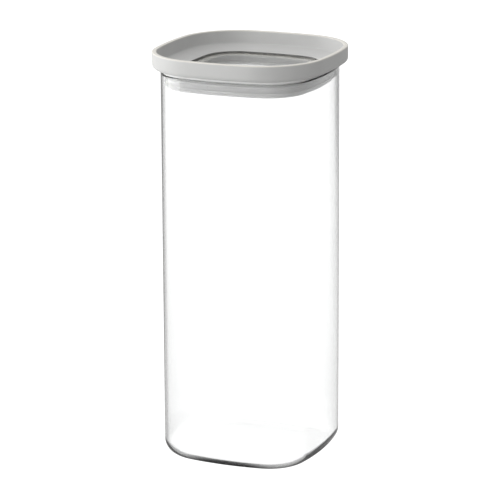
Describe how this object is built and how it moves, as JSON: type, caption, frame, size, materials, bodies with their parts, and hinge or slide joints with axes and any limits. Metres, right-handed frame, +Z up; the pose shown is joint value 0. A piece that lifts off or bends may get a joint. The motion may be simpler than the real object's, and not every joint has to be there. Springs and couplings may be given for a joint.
{
  "type": "lidded glass canister",
  "caption": "Tall rounded-square glass storage jar with bowed sides and a push-in lid: moulded frame with stacking recess, clear window, plug ring and soft seal.",
  "frame": {"origin": "centre of the base, on the plane that the jar stands on", "axes": "+Z up along the jar's centre line and out of its mouth, +X and +Y through the middles of two neighbouring sides"},
  "size_m": [0.1112, 0.1112, 0.255],
  "materials": {
    "glass": "clear polished",
    "lid_grey": "fine matte moulded",
    "window_clear": "clear polished",
    "seal": "translucent matte silicone"
  },
  "bodies": {
    "jar": {"glass_jar": "glass"},
    "lid": {"lid_frame": "lid_grey", "lid_window": "window_clear", "plug_ring": "lid_grey", "seal_ring": "seal"}
  },
  "joints": [
    {"name": "lid_lift", "type": "slide", "parent": "jar", "child": "lid", "axis": [0, 0, 1], "range_m": [0, 0.12]}
  ]
}
